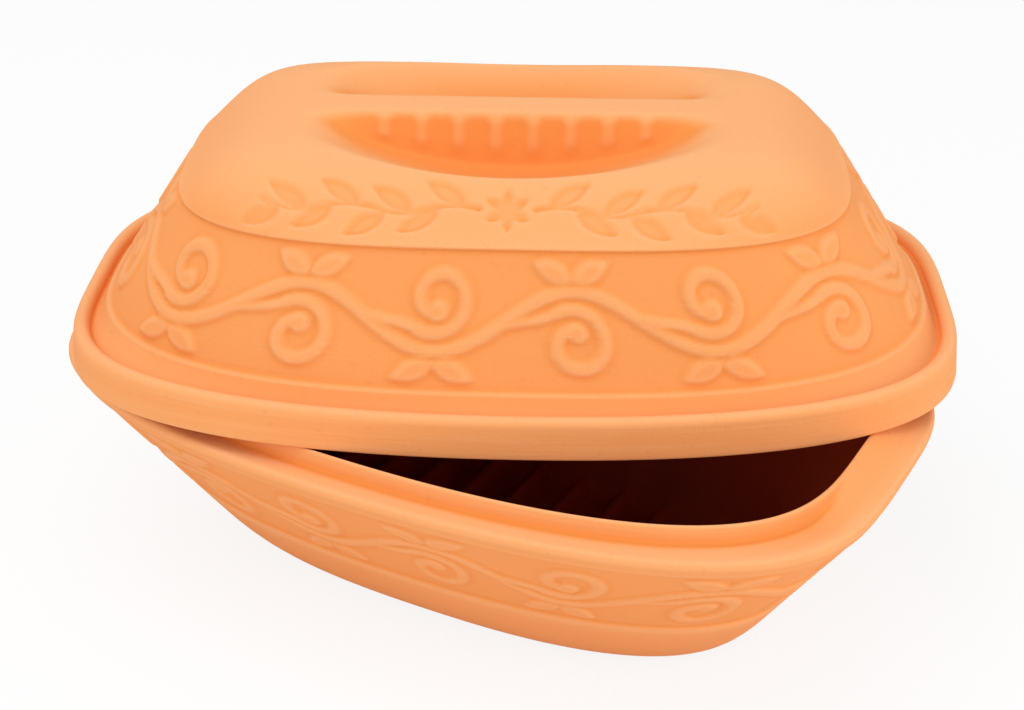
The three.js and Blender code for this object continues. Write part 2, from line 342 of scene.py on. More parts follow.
def vine(period, height):
    """Beads of one wave of the vine, with what its neighbours reach into it."""
    middle = height / 2
    swing = VINE_SWING * height
    radius = VINE_STROKE * height / 2
    share = np.linspace(0, 1, STEM_BEADS)
    stem = np.column_stack([share * period, middle + swing * np.sin(2 * np.pi * share)])
    bay = np.array([period / 4, middle - CURL_DROP * height])
    wide = CURL_REACH[0] * height
    fork = np.array([FORK * period, middle + swing * math.sin(2 * np.pi * FORK)])
    fork_angle = math.atan(2 * np.pi * swing / period)
    away = fork + JOINT_PULL * height * direction(fork_angle)
    start = bay + wide * direction(CURL_START)
    towards = start - JOINT_PULL * height * direction(CURL_START - math.pi / 2)
    joint = bezier([fork, away, towards, start], np.linspace(0, 1, JOINT_BEADS))
    crest = (bay[0], middle + swing + LEAF_RISE * height)
    leaf_size = np.multiply(LEAF_SIZE, height)
    half = [
        stroke(joint, JOINT_STROKE * radius),
        curl(bay, wide, CURL_REACH[1] * height, CURL_START, CURL_TURN, radius),
        leaf(crest, LEAF_LEAN, *leaf_size),
        leaf(crest, math.pi - LEAF_LEAN, *leaf_size),
    ]
    other_half = [beads * [1, -1, 1] + [period / 2, height, 0] for beads in half]
    tile = np.concatenate([stroke(stem, radius), *half, *other_half])
    copies = np.concatenate([tile + [k * period, 0, 0] for k in (-1, 0, 1)])
    near = np.abs(copies[:, 0] - period / 2) < period / 2 + NEIGHBOUR_REACH * height
    return copies[near]


print("a wave 98 mm long and 52 mm high has", len(vine(98, 52)), "beads")

# %% Sunk band
FRIEZE_DEPTH = 1.4
VINE_EDGE = 1.25
BATCH = 4000


def raised(beads, along, up, edge):
    """1 on a stroke and 0 off it. The edge is soft over this distance to both sides."""
    gap = np.empty(len(along))
    for first in range(0, len(along), BATCH):
        part = slice(first, first + BATCH)
        away = np.hypot(along[part, None] - beads[:, 0], up[part, None] - beads[:, 1])
        gap[part] = (away - beads[:, 2]).min(axis=1)
    return 1 - soft_step(-edge, edge, gap)


def band_cut(rings, plan, way, ring, band_way, low, high, slope):
    """Depth in millimetres of each point in a piece's sunk band, 0 on the vine and off the band.

    band_way is the distance round the band, and slope the length of its face per height."""
    facts = np.array(rings)
    carved = facts[ring, SUNK] > 0
    shares = {}
    for number in np.unique(ring[carved]):
        ways, distances = distance_round(rings[number], plan)
        shares[number] = distances / distances[-1]
    share = by_row(ways, shares, way[carved], ring[carved])
    up = (facts[ring[carved], SIDE_HEIGHT] - low) * slope
    period = band_way / VINE_WAVES
    beads = vine(period, (high - low) * slope)
    cut = np.zeros(len(ring))
    cut[carved] = FRIEZE_DEPTH * (1 - raised(beads, (share * band_way) % period, up, VINE_EDGE))
    return cut


print("bands are sunk by", FRIEZE_DEPTH, "mm")

# %% [markdown]
# ## The dish
#
# The dish stands on a flat foot, tapers outwards, and ends in a rim band with a flange and a raised lip.
# The lip keeps a closed lid from sliding off. Along the sides a crease parts it from the flange,
# and towards the ends the crease runs out into one plain incline.
# A circle is the foot, and its rings go up the wall, over the lip and some way down the inside.

# %% Dish sizes
RIM_POWERS = (2.17, 3.57)
DISH_FOOT_POWERS = (2.5, 2.5)
DISH_LENGTH = 339.2
DISH_WIDTH = 215.0
DISH_PLAN = (DISH_LENGTH, DISH_WIDTH)
DISH_HEIGHT = 87.4
DISH_WALL_TOP = 79.9
DISH_BAND_INSET = 2.8
DISH_EDGE_ROUND = 2.4
DISH_WALL_INSET = 42.0
DISH_FOOT_RISE = 19.0
DISH_FOOT_INSET = 61.0
DISH_WALL = 9.0
DISH_FLOOR = 9.0
DISH_FRIEZE = (33.0, 79.9)
FLANGE = (14.8, 10.9)
FLANGE_DIP = 1.3
LIP_HEIGHT = 5.4
LIP_SLOPE = 1.4
LIP_TOP = 1.6

DISH_TAPER = (DISH_WALL_INSET - DISH_BAND_INSET) / (DISH_WALL_TOP - DISH_FOOT_RISE)
DISH_SLOPE = math.hypot(1, DISH_TAPER)
LIP_CREST = DISH_HEIGHT + LIP_HEIGHT


def dish_inset(height):
    """How far the straight of the wall lies inside the rim at a height."""
    return DISH_WALL_INSET - (height - DISH_FOOT_RISE) * DISH_TAPER


def dish_ring(inset, height, sunk=0.0):
    share = min(pair(height)[1] / DISH_WALL_TOP, 1)
    return ring_at(inset, height, mix(DISH_FOOT_POWERS, RIM_POWERS, share), sunk)


def dish_wall_ring(height, sunk=0.0, inwards=0.0):
    return dish_ring(dish_inset(height) + inwards, height, sunk)


print("dish:", DISH_PLAN, "mm, taper", round(math.degrees(math.atan(DISH_TAPER)), 1), "degrees")

# %% Dish rings, foot to lip
FRIEZE_BORDER = 1.6
FRIEZE_TURN = (1.9, 1.0)
FRIEZE_BROW = (0.8, 0.3)
BAND_PULL = 0.3
BAND_TURN = (0.7, 0.8)
FLANGE_TURN = (2.2, 0.2)
LIP_TURN = (0.4, 1.7)
LIP_EASE = (0.3, 1.1)
LIP_ROUND = (0.7, 1.0)


def inside_lip(extra):
    """Insets this far inside the lip's foot."""
    return FLANGE[0] + extra, FLANGE[1] + extra


def flange_ring(extra, side_height):
    """A ring on the flange or the lip's slope: a plain incline at the ends, side_height at the sides."""
    inset = inside_lip(extra)
    share = (inset[0] - DISH_EDGE_ROUND) / (FLANGE[0] + LIP_SLOPE - DISH_EDGE_ROUND)
    return dish_ring(inset, (DISH_HEIGHT + LIP_HEIGHT * share, side_height))


def dish_outer_rings():
    """Each extend says how many rings it adds, and through which ring they turn to which."""
    low, high = DISH_FRIEZE
    rings = [dish_ring(DISH_FOOT_INSET, 0)]
    extend(rings, 8, dish_wall_ring(0), dish_wall_ring(DISH_FOOT_RISE))
    extend(rings, 3, dish_wall_ring(low))
    extend(rings, 2, dish_wall_ring(low + FRIEZE_BORDER, 1))
    extend(rings, 46, dish_wall_ring(high - FRIEZE_TURN[0], 1))
    extend(rings, 1, dish_wall_ring(high - FRIEZE_TURN[1], *FRIEZE_BROW))
    band_foot = dish_ring(DISH_BAND_INSET - BAND_TURN[0], DISH_WALL_TOP + BAND_TURN[1])
    extend(rings, 3, dish_ring(DISH_BAND_INSET, DISH_WALL_TOP - BAND_PULL), band_foot)
    extend(rings, 4, dish_ring(0, DISH_HEIGHT - DISH_EDGE_ROUND))
    extend(rings, 6, dish_ring(0, DISH_HEIGHT), dish_ring(DISH_EDGE_ROUND, DISH_HEIGHT))
    dip = DISH_HEIGHT - FLANGE_DIP
    extend(rings, 4, flange_ring(-FLANGE_TURN[0], dip + FLANGE_TURN[1]))
    extend(rings, 6, flange_ring(0, dip), flange_ring(LIP_TURN[0], dip + LIP_TURN[1]))
    extend(rings, 3, flange_ring(LIP_SLOPE - LIP_EASE[0], LIP_CREST - LIP_EASE[1]))
    crest = dish_ring(inside_lip(LIP_SLOPE + LIP_ROUND[0]), LIP_CREST)
    extend(rings, 4, flange_ring(LIP_SLOPE, LIP_CREST), crest)
    mouth = inside_lip(LIP_SLOPE + LIP_TOP)
    extend(rings, 4, dish_ring(mouth, LIP_CREST), dish_ring(mouth, LIP_CREST - LIP_ROUND[1]))
    return rings


dish_outer = dish_outer_rings()
glaze_ring = len(dish_outer) - 1
print("dish:", len(dish_outer), "rings outside")

# %% [markdown]
# The inside narrows to a floor with nine low ribs that let the juices run under the roast.
# The upper part of the inside belongs to the first net, because its edge shows and has to be as smooth.
# The floor and the lower walls are a coarser square net, so that the ribs lie along its columns.

# %% Dish rings, inside
NECK_HEIGHTS = (90.0, 88.0, 83.0)
NECK_FOOT = 74.0
NECK_DROP = 1.2
DISH_SEAM = 62.0
SEAM_GAP = 3.0

wall_across = DISH_WALL * DISH_SLOPE
inner_low = DISH_FLOOR + DISH_FOOT_RISE
inner_low_inset = dish_inset(inner_low) + wall_across
inner_neck = inside_lip(LIP_SLOPE + LIP_TOP)
inner_neck_height = DISH_WALL_TOP - NECK_DROP


def inner_ring(height):
    """A ring of the inside's straight wall, between its neck and the round of the floor."""
    share = (inner_neck_height - height) / (inner_neck_height - inner_low)
    return dish_ring(mix(inner_neck, pair(inner_low_inset), share), height)


extend(dish_outer, 2, *(dish_ring(inner_neck, height) for height in NECK_HEIGHTS[:2]))
extend(dish_outer, 2, dish_ring(inner_neck, NECK_HEIGHTS[2]))
extend(dish_outer, 4, dish_ring(inner_neck, inner_neck_height), inner_ring(NECK_FOOT))
extend(dish_outer, 4, inner_ring(DISH_SEAM))

dish_floor = [dish_ring(DISH_FOOT_INSET + DISH_WALL / 2, DISH_FLOOR)]
floor_turn = dish_ring(dish_inset(DISH_FLOOR) + wall_across, DISH_FLOOR)
extend(dish_floor, 8, floor_turn, dish_ring(inner_low_inset, inner_low))
extend(dish_floor, 5, inner_ring(DISH_SEAM - SEAM_GAP))
print("dish:", len(dish_outer), "rings to the seam,", len(dish_floor), "from the floor up")

# %% [markdown]
# The circle's vertices are spread evenly round the wall, so that the carving is as fine at the ends as at the
# sides. Then every vertex finds its place: its ring gives the height and the outline, and the vine says
# how much of the sunk band is left standing there.
# Each point also stores how much painted shade its colour takes: 0 in the open, 1 in deep hollows, 2 in a
# sharp crease.

# %% Dish outside
DISH_COLUMNS = 720
# Amounts of painted shade: on the band's sunk field, along the rim's crease, and on the ends' incline
FIELD_SHADE = 0.3
CREASE_SHADE = 1.9
CREASE_MIDDLE = FLANGE[1] - 0.5
CREASE_ON_FLANGE = 1.0
CREASE_ON_LIP = 1.4
INCLINE_SHADE = 0.5
INCLINE_INSET = (2.0, 8.0)
INCLINE_FADE = (0.45, 0.85)
RIM_FROM = DISH_WALL_TOP + 2


def rim_shade(ring, y):
    """Painted shade on the rim: along the crease between flange and lip, and on the ends' plain incline."""
    end_inset, inset, _, height = np.array(dish_outer)[ring, : SIDE_HEIGHT + 1].T
    outwards = np.maximum(CREASE_MIDDLE - inset, 0) / CREASE_ON_FLANGE
    upwards = np.maximum(height - DISH_HEIGHT + FLANGE_DIP, 0) / CREASE_ON_LIP
    across = np.abs(y) / (DISH_WIDTH / 2 - inset)
    crease = CREASE_SHADE * np.exp(-(outwards**2) - upwards**2) * soft_step(*SIDE_FADE, across)
    incline = INCLINE_SHADE * soft_step(*INCLINE_INSET, end_inset) * (1 - soft_step(*INCLINE_FADE, across))
    return np.maximum(crease, incline) * (height > RIM_FROM)


dish = round_net("roaster_dish", DISH_COLUMNS, len(dish_outer) - 1)
first, second, dish_rings = net_places(dish)
ways, distances = distance_round(dish_wall_ring(sum(DISH_FRIEZE) / 2), DISH_PLAN)
turn = (np.arctan2(first, -second) / (2 * np.pi)) % 1
way = np.interp(turn * distances[-1], distances, ways)
cut = band_cut(dish_outer, DISH_PLAN, way, dish_rings, distances[-1], *DISH_FRIEZE, DISH_SLOPE)
x, y, z = place_rings(dish_outer, DISH_PLAN, *square_direction(way), dish_rings, cut)
set_places(dish, x, y, z)
# Painted shade: the band's sunk field and the rim's crease and incline are darkened in the clay's colour
keep_values(dish, "hollow_shade", np.maximum(FIELD_SHADE * cut / FRIEZE_DEPTH, rim_shade(dish_rings, y)))
print("dish outside:", len(dish.data.polygons), "faces")

# %% Dish inside
RIB_COUNT = 9
RIB_PITCH = 20.0
RIB_WIDTH = 14.0
RIB_HEIGHT = 4.0
RIB_LEAST = 0.01
FLOOR_COLUMNS = 144
FLOOR_ROWS = 44


def crests(x, count, pitch, width):
    """1 on the crests of a row of rounded bumps that is centred on x = 0, and 0 between them."""
    last = (count - 1) / 2
    shift = last % 1
    nearest = np.clip(np.rint(x / pitch - shift) + shift, -last, last) * pitch
    share = np.clip(np.abs(x - nearest) / (width / 2), 0, 1)
    return np.cos(share * np.pi / 2) ** 2


dish_inside = square_net("dish_inside", FLOOR_COLUMNS, FLOOR_ROWS, len(dish_floor) - 1)
first, second, ring = net_places(dish_inside)
along, across, reach = directions(first, second)
x, y, bare = place_rings(dish_floor, DISH_PLAN, along, across, ring, 0)
ribs = crests(x * reach, RIB_COUNT, RIB_PITCH, RIB_WIDTH)
z = np.maximum(bare, DISH_FLOOR + RIB_HEIGHT * ribs)
set_places(dish_inside, x * reach, y * reach, z)
# Rib crests, where the glaze takes a painted highlight
keep_values(dish_inside, "crest", ribs * (z > bare + RIB_LEAST))
print("dish inside:", len(dish_inside.data.polygons), "faces")

# %% [markdown]
# ## The lid
#
# The lid is a dome with a tall rounded rim. Behind the rim runs a channel, then a concave apron climbs to a
# ledge, and above it stands the wall with its carved band, closed by the crease of the shoulder.
# The top is one grid of faces, because the grip bar and its two scoops lie along straight lines there.
# The rings hang from the grid's edge, so the whole outside of the lid is a single net.

# %% Lid sizes
LID_FOOT_POWERS = (2.66, 2.66)
LID_TOP_POWERS = (3.3, 3.3)
LID_OVERHANG = 2.9
LID_LENGTH = DISH_LENGTH + 2 * LID_OVERHANG
LID_WIDTH = DISH_WIDTH + 2 * LID_OVERHANG
LID_PLAN = (LID_LENGTH, LID_WIDTH)
RIM_SLACK = 0.25
LID_BAND_HEIGHT = 15.8
LID_BAND_DRAFT = 1.0
LID_EDGE_ROUND = 1.4
RIM_THICKNESS = 6.0
RIM_ROUND = 3.2
CHANNEL_DEPTH = 4.2
CHANNEL_WIDTH = 1.6
LEDGE = (11.8, 14.1)
LEDGE_HEIGHT = 17.9
CREASE = (45.9, 30.3)
CREASE_HEIGHT = 69.2


def lid_wall_ring(height, proud=0.0, sunk=0.0):
    """A ring of the carved wall, standing proud of its face by a little."""
    share = (height - LEDGE_HEIGHT) / (CREASE_HEIGHT - LEDGE_HEIGHT)
    end, side = mix(LEDGE, CREASE, share)
    return ring_at((end - proud, side - proud), height, mix(LID_FOOT_POWERS, LID_TOP_POWERS, share), sunk)


def rim_ring(inset, height):
    return ring_at(inset + RIM_SLACK, height, RIM_POWERS)


def apron_ring(share, height):
    """A ring between the channel behind the rim, at share 0, and the ledge, at share 1."""
    channel = LID_BAND_DRAFT + RIM_THICKNESS + CHANNEL_WIDTH / 2
    return ring_at(mix(pair(channel), LEDGE, share), height, mix(RIM_POWERS, LID_FOOT_POWERS, share))


print("lid:", LID_PLAN, "mm")

# %% Lid rings, crease to mouth
BAND_EDGE = 1.7
CREASE_TURN = (0.8, 0.35)
LEDGE_TURN = (0.5, 1.0)
LEDGE_ROUND = 0.9
APRON_PULL = (0.45, 0.5)
RIM_STEPS = 12


def lid_outer_rings():
    rings = [ring_at(CREASE, CREASE_HEIGHT, LID_TOP_POWERS)]
    crease_turn = lid_wall_ring(CREASE_HEIGHT - CREASE_TURN[0], CREASE_TURN[1])
    extend(rings, 4, crease_turn, lid_wall_ring(CREASE_HEIGHT - BAND_EDGE, 0, 1))
    extend(rings, 44, lid_wall_ring(LEDGE_HEIGHT + BAND_EDGE, 0, 1))
    extend(rings, 2, lid_wall_ring(LEDGE_HEIGHT + LEDGE_TURN[0]))
    extend(rings, 2, apron_ring(1, LEDGE_HEIGHT), apron_ring(LEDGE_ROUND, LEDGE_HEIGHT - LEDGE_TURN[1]))
    channel_height = LID_BAND_HEIGHT - CHANNEL_DEPTH
    pull = apron_ring(APRON_PULL[0], channel_height + APRON_PULL[1])
    extend(rings, 6, pull, apron_ring(0, channel_height))
    base = LID_BAND_HEIGHT - RIM_ROUND
    back = LID_BAND_DRAFT + RIM_THICKNESS
    extend(rings, 3, rim_ring(back, channel_height), rim_ring(back, base))
    for angle in np.linspace(0, math.pi, RIM_STEPS + 1)[1:]:
        inset = LID_BAND_DRAFT + RIM_THICKNESS / 2 * (1 + math.cos(angle))
        rings.append(rim_ring(inset, base + RIM_ROUND * math.sin(angle)))
    extend(rings, 4, rim_ring(0, LID_EDGE_ROUND))
    extend(rings, 4, rim_ring(0, 0), rim_ring(LID_EDGE_ROUND, 0))
    return rings


lid_outer = lid_outer_rings()
print("lid:", len(lid_outer), "rings outside")

# %% [markdown]
# The shoulder turns from the crease into the level top along one curve, and grows squarer on the way.
# A point of the plan lies on exactly one level of that curve, which is found by halving.

# %% Shoulder
LID_HEIGHT = 91.4
PLATEAU = (94.0, 79.4)
PLATEAU_POWERS = (7.5, 7.5)
SHOULDER_HOLD = (0.23, 0.23, 0.32)
SHOULDER_TURN = (0.4, 0.4, 1.0)
SHOULDER_POINTS = 400
HALVINGS = 26


def shoulder(share):
    """End inset, side inset and height along the shoulder, from the crease at 0 to the level top at 1."""
    start = np.array([*CREASE, CREASE_HEIGHT])
    finish = np.array([*PLATEAU, LID_HEIGHT])
    hold = start + (finish - start) * SHOULDER_HOLD
    turn = start + (finish - start) * SHOULDER_TURN
    return bezier([start, hold, turn, finish], share).T


def shoulder_share(x, y):
    """Share of the shoulder's curve over each point of the plan, 1 all over the level top."""
    low = np.zeros(len(x))
    high = np.ones(len(x))
    for _ in range(HALVINGS):
        middle = (low + high) / 2
        end, side, _ = shoulder(middle)
        end_power, side_power = mix(LID_TOP_POWERS, PLATEAU_POWERS, middle)
        end_term = (np.abs(x) / (LID_LENGTH / 2 - end)) ** end_power
        side_term = (np.abs(y) / (LID_WIDTH / 2 - side)) ** side_power
        inside = end_term + side_term < 1
        low = np.where(inside, middle, low)
        high = np.where(inside, high, middle)
    return high


SHOULDER_SHARES = np.linspace(0, 1, SHOULDER_POINTS)
SHOULDER_WAY = way_along(*shoulder(SHOULDER_SHARES)[1:])
print("shoulder:", round(SHOULDER_WAY[-1], 1), "mm up the side")

# %% [markdown]
# Two scoops are hollowed into the top, and the bar that is left between them is the lid's grip.
# Each scoop is a shallow bowl. The bar's wall leans into it, round at the brow, with a welt along its crisp
# foot and ridges between flutes for the fingers.
# An even grid would be too coarse for it. So the grid's rows are laid out over the bar, down the
# wall, along the floor to the scoop's lip, and down the shoulder. Tables give their places for a range of X.

# %% Scoops
BAR_HALF = 8.3
BAR_ROUND = 2.2
BROW_DOWN = 1.5
WALL_LEAN = 6.2
WALL_POINTS = 14
FOOT_ROUND = 1.0
FOOT_EDGE = BAR_HALF + WALL_LEAN + FOOT_ROUND
SCOOP_HALF_LENGTH = 82.5
SCOOP_MIDDLE = 6.5
SCOOP_REACH = 59.4
SCOOP_DEPTH = 21.0
SCOOP_LIP = 1.3
LIP_AT_TIPS = 1.6
CORNER_ALONG = (52, 84)
CORNER_AWAY = (FOOT_EDGE - 2, FOOT_EDGE + 22)
CORNER_FILL = 0.85


def scoop_drop(x, away):
    """How far a scoop's bowl lies below the plain top. Its lip and its corners soften at the tips."""
    inside = 1 - (x / SCOOP_HALF_LENGTH) ** 2 - ((away - SCOOP_MIDDLE) / SCOOP_REACH) ** 2
    over = shoulder(shoulder_share(x, away))[2] - LID_HEIGHT + SCOOP_DEPTH * inside
    lip = SCOOP_LIP * (1 + LIP_AT_TIPS * np.clip(np.abs(x) / SCOOP_HALF_LENGTH, 0, 1) ** 3)
    soft = (over + lip) ** 2 / (4 * lip)
    drop = np.where(over > lip, over, np.where(over < -lip, 0, soft))
    corner = soft_step(*CORNER_ALONG, np.abs(x)) * (1 - soft_step(*CORNER_AWAY, away))
    return drop * (1 - CORNER_FILL * corner)


def wall_path(deep):
    """Points down the bar's wall: the distance from the bar's middle, and the drop below its top."""
    brow = np.array([BAR_HALF, 0.0])
    foot = np.array([BAR_HALF + WALL_LEAN, deep])
    long = np.linalg.norm(foot - brow)
    down = (foot - brow) / long
    high = brow + down * min(BROW_DOWN * BAR_ROUND, long / 2)
    low = foot - down * min(FOOT_ROUND, long / 2)
    share = np.linspace(0, 1, WALL_POINTS)
    brow_bend = bezier([brow - [BAR_ROUND, 0], brow, high], share)
    foot_bend = bezier([low, foot, foot + [FOOT_ROUND, 0]], share)
    return np.concatenate([brow_bend, foot_bend])


deepest = scoop_drop(np.zeros(1), np.full(1, FOOT_EDGE))[0]
print("scoops:", round(deepest, 1), "mm deep at the bar's foot")

# %% Rows down the bar's wall
BAR_ROWS = 4
WALL_ROWS = 18
RIDGE_COUNT = 8
RIDGE_PITCH = 14.1
RIDGE_WIDTH = 10.4
RIDGE_HEIGHT = 1.4
RIDGE_BROW = (0.0, 0.2)
RIDGE_FOOT = (0.5, 0.88)
RIDGE_DEPTHS = (3, 9)
LEAST_DEPTH = 0.1
TABLE_X = np.linspace(-125, 125, 501)


# Each row's distance from the bar's middle, its drop, and how far the ridges stand out, for each X
depths = scoop_drop(TABLE_X, np.full(len(TABLE_X), FOOT_EDGE))
WALL_AWAY = np.empty((WALL_ROWS + 1, len(TABLE_X)))
WALL_DROP = np.empty_like(WALL_AWAY)
for column, deep in enumerate(depths):
    path = wall_path(deep)
    way = way_along(*path.T)
    even = np.linspace(0, way[-1], WALL_ROWS + 1)
    WALL_AWAY[:, column] = np.interp(even, way, path[:, 0])
    WALL_DROP[:, column] = np.interp(even, way, path[:, 1])
share = WALL_DROP / np.maximum(depths, LEAST_DEPTH)
window = soft_step(*RIDGE_BROW, share) * (1 - soft_step(*RIDGE_FOOT, share))
ridges = crests(TABLE_X, RIDGE_COUNT, RIDGE_PITCH, RIDGE_WIDTH)
WALL_PROUD = ridges * soft_step(*RIDGE_DEPTHS, depths) * window
WALL_AWAY += RIDGE_HEIGHT * WALL_PROUD
print("wall:", WALL_ROWS, "rows,", RIDGE_COUNT, "ridges")

# %% Rows from the bar to the crease
LID_COLUMNS = 210
LID_ROWS = 160
BOWL_ROWS = 12
LIP_ROWS = 8
SHOULDER_ROWS = LID_ROWS // 2 - BAR_ROWS - WALL_ROWS - BOWL_ROWS - LIP_ROWS
BOWL_SPREAD = 1.3
SHOULDER_SPREAD = 1.4
LIP_BAND = 4.0
LIP_DROP = 0.2
LEAST_LIP = 30.0
LIP_BLEND = 5.0
LIP_PLACES = np.linspace(FOOT_EDGE, 78, 320)


# Distance from the bar's middle of the scoop's lip, for each X of the table
lip = np.zeros(len(TABLE_X))
for column, x in enumerate(TABLE_X):
    below = scoop_drop(np.full(len(LIP_PLACES), x), LIP_PLACES) > LIP_DROP
    lip[column] = LIP_PLACES[below].max(initial=0)
lip = (lip + LEAST_LIP + np.hypot(lip - LEAST_LIP, LIP_BLEND)) / 2

end_term = (np.abs(TABLE_X) / (LID_LENGTH / 2 - CREASE[0])) ** LID_TOP_POWERS[0]
crease = (LID_WIDTH / 2 - CREASE[1]) * (1 - end_term) ** (1 / LID_TOP_POWERS[1])
bar = np.linspace(0, 1, BAR_ROWS, endpoint=False)[:, None] * WALL_AWAY[0]
bowl_share = np.linspace(0, 1, BOWL_ROWS + 1)[1:, None]
bowl = WALL_AWAY[-1] + (lip - LIP_BAND - WALL_AWAY[-1]) * bowl_share**BOWL_SPREAD
band = lip + np.linspace(-LIP_BAND, LIP_BAND, LIP_ROWS + 1)[1:, None]
down_share = np.linspace(0, 1, SHOULDER_ROWS + 1)[1:, None]
down = band[-1] + (crease - band[-1]) * (1 - (1 - down_share) ** SHOULDER_SPREAD)
ROW_AWAY = np.concatenate([bar, WALL_AWAY, bowl, band, down])
print("rows from the bar to the crease:", len(ROW_AWAY))

# %% [markdown]
# The front and the rear of the shoulder have room for a modest mark: a sprig with leaves, pressed in lightly.

# %% Sprig
SPRIG_REACH = (10, 88)
SPRIG_BEADS = 110
SPRIG_STROKE = 0.9
SPRIG_MIDDLE = 15.0
SPRIG_WAVE = 1.6
SPRIG_SHIFT = 9
SPRIG_LEAVES = 8
SPRIG_FIRST_LEAF = 15
SPRIG_STEP = 19.0
SPRIG_LEAF = (17.0, 7.0)
SPRIG_LEAN = math.radians(33)
PETALS = 6
PETAL = (8.4, 4.2)


def sprig_rise(reach):
    """Height of the sprig's waving stem above the crease."""
    return SPRIG_MIDDLE + SPRIG_WAVE * np.sin((reach - SPRIG_SHIFT) / SPRIG_STEP * np.pi)


def sprig():
    """Beads of a leafy sprig to both sides of a rosette, along X and up the shoulder from the crease."""
    reach = np.linspace(*SPRIG_REACH, SPRIG_BEADS)
    half = [stroke(np.column_stack([reach, sprig_rise(reach)]), SPRIG_STROKE)]
    for i in range(SPRIG_LEAVES):
        side = (-1) ** i
        at = SPRIG_FIRST_LEAF + i * SPRIG_STEP / 2
        half.append(leaf((at, sprig_rise(at) + side), side * SPRIG_LEAN, *SPRIG_LEAF))
    other_half = [beads * [-1, 1, 1] for beads in half]
    turns = np.arange(PETALS) * 2 * math.pi / PETALS + math.pi / 2
    petals = [leaf((0, SPRIG_MIDDLE), turn, *PETAL) for turn in turns]
    return np.concatenate([*half, *other_half, *petals])


print("sprig:", len(sprig()), "beads")

# %% [markdown]
# Now the top is put together. The grid's points follow the shoulder's curve, and near the scoops they
# follow the rows of the table. The scoops and the sprig are then taken out of the height.

# %% Lid top
PLATEAU_REACH = 0.6
ROWS_END = (0.62, 0.86)
WELT = 0.4
WELT_WIDTH = 1.6
WELT_DROP = (1, 6)
# Painted shade in the scoops: the drops where it starts and is full, and how much less the ridges and tips
# get
SHADE_FROM_DROP = 0.4
SHADE_FULL_DROP = 18
BAR_EASE = 14
NEAR_BAR = (FOOT_EDGE, FOOT_EDGE + 22)
RIDGE_LESS_SHADE = 0.32
TIPS_LESS_SHADE = 0.4
TIPS_ALONG = (15, 70)
TIPS_AWAY = (FOOT_EDGE, FOOT_EDGE + 12)
SPRIG_DEPTH = 1.0
SPRIG_EDGE = 1.0
SPRIG_TOP = 30


def top_plan(first, second):
    """Places of the grid's points in the plan, their rows, and how far each follows the table."""
    along, across, reach = directions(first, second)
    climb = np.clip((1 - reach) / (1 - PLATEAU_REACH), 0, 1) * SHOULDER_WAY[-1]
    share = np.interp(climb, SHOULDER_WAY, SHOULDER_SHARES)
    end, side, _ = shoulder(share)
    shrink = np.clip(reach / PLATEAU_REACH, TINY, 1)
    half_length = (LID_LENGTH / 2 - end) * shrink
    half_width = (LID_WIDTH / 2 - side) * shrink
    x, y = outline(half_length, half_width, *mix(LID_TOP_POWERS, PLATEAU_POWERS, share), along, across)
    row = np.rint(np.abs(second) * LID_ROWS / 2).astype(int)
    follow = 1 - soft_step(*ROWS_END, np.abs(first))
    y = y + (np.sign(second) * by_row(TABLE_X, ROW_AWAY, x, row) - y) * follow
    return x, y, row, follow


def lid_top(first, second):
    """Places of the grid's points on the shoulder and the level top, and the painted shade each takes."""
    x, y, row, follow = top_plan(first, second)
    away = np.abs(y)
    drop = scoop_drop(x, away)
    on_wall = row <= BAR_ROWS + WALL_ROWS
    wall_row = np.clip(row[on_wall] - BAR_ROWS, 0, WALL_ROWS)
    drop[on_wall] = by_row(TABLE_X, WALL_DROP, x[on_wall], wall_row) * follow[on_wall]
    # Painted shade in the scoops grows with the drop, is full sooner near the bar, and is less on ridges and
    # tips
    near_bar = 1 - soft_step(*NEAR_BAR, away)
    deep = soft_step(SHADE_FROM_DROP, SHADE_FULL_DROP - BAR_EASE * near_bar, drop)
    deep[on_wall] *= 1 - RIDGE_LESS_SHADE * by_row(TABLE_X, WALL_PROUD, x[on_wall], wall_row)
    deep *= 1 - TIPS_LESS_SHADE * soft_step(*TIPS_ALONG, np.abs(x)) * soft_step(*TIPS_AWAY, away)
    welt = WELT * np.exp(-(((away - FOOT_EDGE) / WELT_WIDTH) ** 2))
    drop = drop - welt * soft_step(*WELT_DROP, drop)
    share = shoulder_share(x, y)
    climb = np.interp(share, SHOULDER_SHARES, SHOULDER_WAY)
    pressed = np.zeros(len(x))
    marked = (np.abs(second) >= np.abs(first)) & (climb < SPRIG_TOP)
    pressed[marked] = raised(sprig(), x[marked], climb[marked], SPRIG_EDGE)
    z = shoulder(share)[2] - drop - SPRIG_DEPTH * pressed
    # The pressed sprig takes the same painted shade as the band's sunk field
    return x, y, z, np.maximum(deep, FIELD_SHADE * pressed)


print("lid top:", LID_COLUMNS, "columns,", LID_ROWS, "rows")

# %% Lid outside
LID_TURN = math.radians(25.6)
LID_GAP = 0.3
LID_PLACE = (-4.3, 30.5, LIP_CREST + LID_GAP)


def lay_on_dish(x, y, z):
    """Turns and moves the lid's own coordinates to where it lies on the dish."""
    turned_x = x * math.cos(LID_TURN) - y * math.sin(LID_TURN)
    turned_y = x * math.sin(LID_TURN) + y * math.cos(LID_TURN)
    return turned_x + LID_PLACE[0], turned_y + LID_PLACE[1], z + LID_PLACE[2]


lid = square_net("roaster_lid", LID_COLUMNS, LID_ROWS, len(lid_outer) - 1)
first, second, ring = net_places(lid)
edge = np.maximum(np.abs(first), np.abs(second)) > 1 - TINY
band = (LEDGE_HEIGHT, CREASE_HEIGHT)
_, distances = distance_round(lid_wall_ring(sum(band) / 2), LID_PLAN)
cut = band_cut(lid_outer, LID_PLAN, square_way(first, second), ring, distances[-1], *band, 1)
